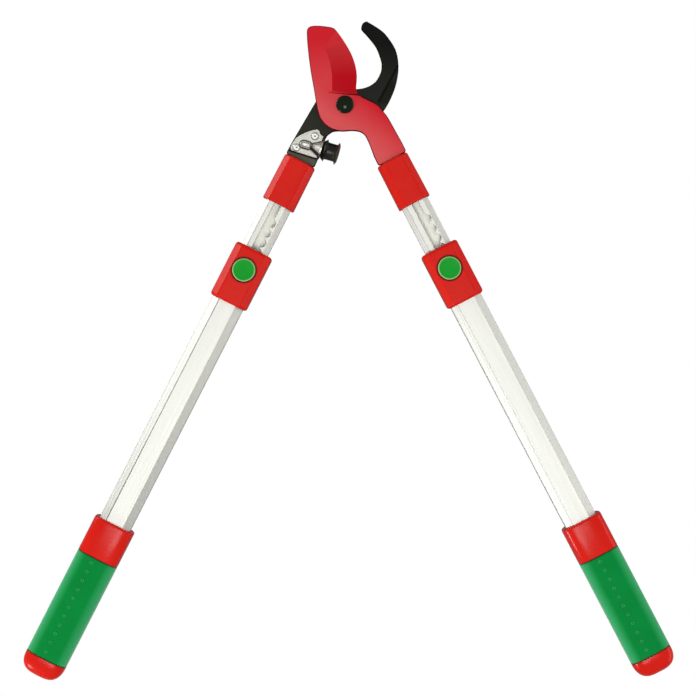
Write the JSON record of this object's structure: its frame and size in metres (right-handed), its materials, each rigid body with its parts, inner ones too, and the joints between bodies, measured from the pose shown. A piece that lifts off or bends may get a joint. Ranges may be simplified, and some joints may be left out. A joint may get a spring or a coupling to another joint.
{
  "type": "telescopic bypass lopper",
  "caption": "Telescopic bypass lopper with a crimson blade, black hook, rubber bumper stop, sliding aluminium tube arms, push-button lock collars and soft green grips.",
  "frame": {"origin": "on the pivot axis, at the flat end face of the pivot bolt, in the plane that the tool lies on", "axes": "+Z along the pivot axis, out of the tool's front; +Y from the grips to the jaws, midway between the arms"},
  "size_m": [0.5999, 0.6089, 0.032],
  "materials": {
    "blade_paint": "satin crimson coating",
    "black_steel": "satin black coating",
    "bright_steel": "bright zinc plate",
    "aluminium": "satin anodised extrusion",
    "red_plastic": "moulded, half gloss",
    "button_plastic": "moulded, half gloss",
    "grip_rubber": "soft, matt",
    "black_rubber": "matt",
    "black_plastic": "moulded, matt"
  },
  "bodies": {
    "hook_arm": {"hook": "black_steel", "pivot_bolt": "black_steel", "pivot_washer": "bright_steel", "pivot_nut": "black_steel", "bumper_bracket": "bright_steel", "bracket_rivet_1": "bright_steel", "bracket_rivet_2": "bright_steel", "bumper_pin": "bright_steel", "bumper": "black_rubber", "left_inner_tube": "aluminium", "left_tang_packing": "black_plastic", "left_tang_pin_1": "bright_steel", "left_tang_pin_2": "bright_steel", "left_sleeve": "red_plastic", "left_tube_glide": "black_plastic"},
    "blade_arm": {"blade": "blade_paint", "right_inner_tube": "aluminium", "right_tang_packing": "black_plastic", "right_tang_pin_1": "bright_steel", "right_tang_pin_2": "bright_steel", "right_sleeve": "red_plastic", "right_tube_glide": "black_plastic"},
    "left_handle": {"left_outer_tube": "aluminium", "left_lock_collar": "red_plastic", "left_lock_spring": "bright_steel", "left_collar_screw": "bright_steel", "left_grip_core": "red_plastic", "left_grip_sleeve": "grip_rubber"},
    "right_handle": {"right_outer_tube": "aluminium", "right_lock_collar": "red_plastic", "right_lock_spring": "bright_steel", "right_collar_screw": "bright_steel", "right_grip_core": "red_plastic", "right_grip_sleeve": "grip_rubber"},
    "left_button": {"left_lock_button": "button_plastic", "left_lock_key": "bright_steel"},
    "right_button": {"right_lock_button": "button_plastic", "right_lock_key": "bright_steel"}
  },
  "joints": [
    {"name": "pivot", "type": "hinge", "parent": "hook_arm", "child": "blade_arm", "pos_m": [0, 0, 0], "axis": [0, 0, 1], "range_deg": [-38, 30]},
    {"name": "left_slide", "type": "slide", "parent": "hook_arm", "child": "left_handle", "axis": [-0.4548, -0.8906, 0], "range_m": [-0.04, 0.26]},
    {"name": "left_button_press", "type": "slide", "parent": "left_handle", "child": "left_button", "axis": [0, 0, -1], "range_m": [0, 0.0032], "stiffness_N_per_m": 500, "springref_m": -0.001, "deforming": ["left_lock_spring"]},
    {"name": "right_slide", "type": "slide", "parent": "blade_arm", "child": "right_handle", "axis": [0.4633, -0.8862, 0], "range_m": [-0.04, 0.26]},
    {"name": "right_button_press", "type": "slide", "parent": "right_handle", "child": "right_button", "axis": [0, 0, -1], "range_m": [0, 0.0032], "stiffness_N_per_m": 500, "springref_m": -0.001, "deforming": ["right_lock_spring"]}
  ]
}
